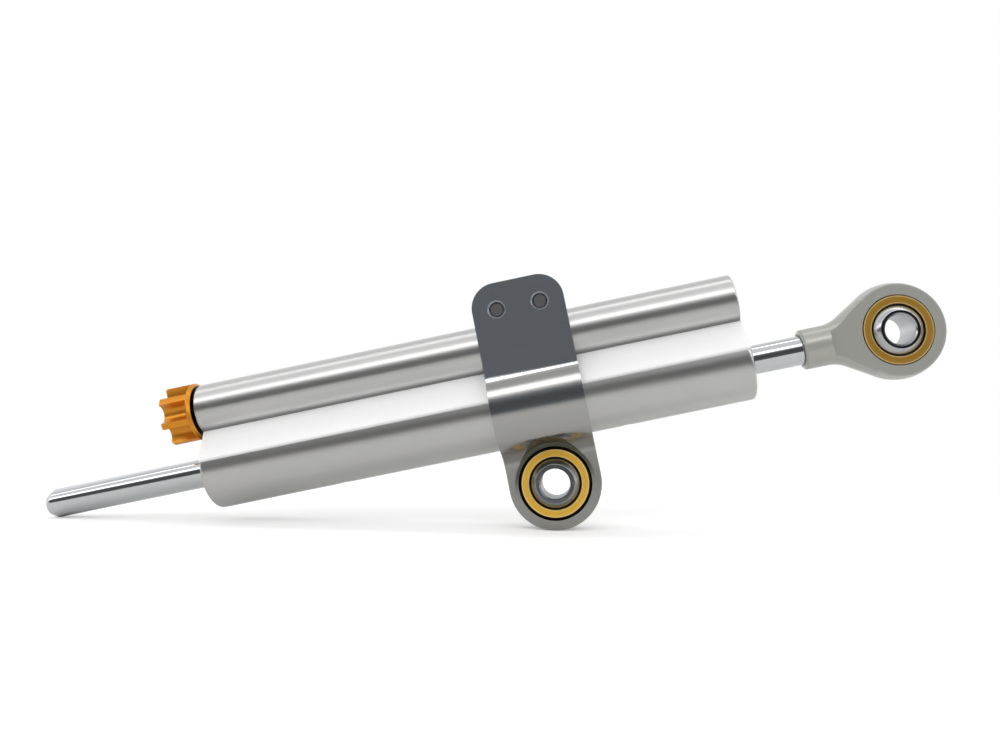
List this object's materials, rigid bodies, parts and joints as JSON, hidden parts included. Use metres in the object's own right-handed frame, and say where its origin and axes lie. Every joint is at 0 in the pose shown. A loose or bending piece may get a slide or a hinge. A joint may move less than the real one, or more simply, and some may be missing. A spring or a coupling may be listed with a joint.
{
  "type": "motorcycle steering damper",
  "caption": "Linear through-rod steering damper: oil cylinder with a valve tube above it, lobed adjuster knob, clamp with a spherical bearing, and a rod that ends in a bearing eye.",
  "frame": {"origin": "centre of the clamp's spherical bearing", "axes": "+X along the piston rod towards its eye, +Y along the clamp bearing's bore away from the viewer, +Z from the bearing up to the valve tube"},
  "size_m": [0.2519, 0.0276, 0.0683],
  "materials": {
    "body_aluminium": "satin turned tubes, rough blasted web between them",
    "clamp_aluminium": "polished",
    "dark_steel": "blackened",
    "clamp_race_gold": "smooth gold-coloured race",
    "eye_race_gold": "smooth bronze-gold race",
    "ball_chrome": "polished ball",
    "head_aluminium": "turned",
    "bush_bronze": "bronze-backed",
    "seal_rubber": "moulded",
    "clip_steel": "phosphated spring steel",
    "plug_steel": "ground",
    "rod_chrome": "ground and chromed",
    "piston_bronze": "turned",
    "ring_ptfe": "bronze-filled",
    "rod_end_grey": "matte grey anodised",
    "knob_gold": "gold-orange anodised",
    "spindle_steel": "turned",
    "spring_steel": "drawn wire"
  },
  "bodies": {
    "root": {"damper_body": "body_aluminium", "mounting_clamp": "clamp_aluminium", "clamp_screws": "dark_steel", "clamp_bearing_race": "clamp_race_gold", "left_seal_head": "head_aluminium", "right_seal_head": "head_aluminium", "guide_bushes": "bush_bronze", "rod_seals": "seal_rubber", "wiper_seals": "seal_rubber", "head_seal_rings": "seal_rubber", "head_circlips": "clip_steel", "passage_plugs": "plug_steel", "valve_housing": "head_aluminium", "housing_seal_ring": "seal_rubber", "needle_guide": "bush_bronze", "guide_circlip": "clip_steel", "valve_seat": "bush_bronze", "detent_ball": "plug_steel", "detent_spring": "spring_steel", "reservoir_spring": "spring_steel", "end_plug": "head_aluminium", "plug_seal_ring": "seal_rubber"},
    "rod": {"piston_rod": "rod_chrome", "piston": "piston_bronze", "piston_ring": "ring_ptfe", "piston_circlips": "clip_steel", "rod_end": "rod_end_grey", "rod_end_race": "eye_race_gold"},
    "adjuster": {"adjuster_knob": "knob_gold", "knob_screw": "dark_steel", "adjuster_spindle": "spindle_steel", "spindle_seal_ring": "seal_rubber"},
    "needle": {"metering_needle": "head_aluminium"},
    "clamp_ball": {"clamp_ball": "ball_chrome"},
    "rod_end_ball": {"rod_end_ball": "ball_chrome"},
    "divider": {"divider_piston": "head_aluminium", "divider_seal_ring": "seal_rubber"}
  },
  "joints": [
    {"name": "rod_slide", "type": "slide", "parent": "root", "child": "rod", "axis": [1, 0, 0], "range_m": [-0.014, 0.046]},
    {"name": "rod_end_swivel", "type": "hinge", "parent": "rod", "child": "rod_end_ball", "pos_m": [0.0982, 0, 0.0218], "axis": [0, 0, 1], "range_deg": [-14, 14]},
    {"name": "clamp_swivel", "type": "hinge", "parent": "root", "child": "clamp_ball", "pos_m": [0, 0, 0], "axis": [1, 0, 0], "range_deg": [-14, 14]},
    {"name": "knob_turn", "type": "hinge", "parent": "root", "child": "adjuster", "pos_m": [-0.09385, 0, 0.0389], "axis": [1, 0, 0], "range_deg": [-360, 360]},
    {"name": "needle_slide", "type": "slide", "parent": "root", "child": "needle", "axis": [1, 0, 0], "range_m": [-0.00071, 0.00071]},
    {"name": "divider_slide", "type": "slide", "parent": "root", "child": "divider", "axis": [1, 0, 0], "range_m": [-0.003, 0.003], "stiffness_N_per_m": 6600, "deforming": ["reservoir_spring"]}
  ],
  "couplings": [
    {"joint": "needle_slide", "follows": "knob_turn", "m_per_rad": 0.00011141}
  ]
}
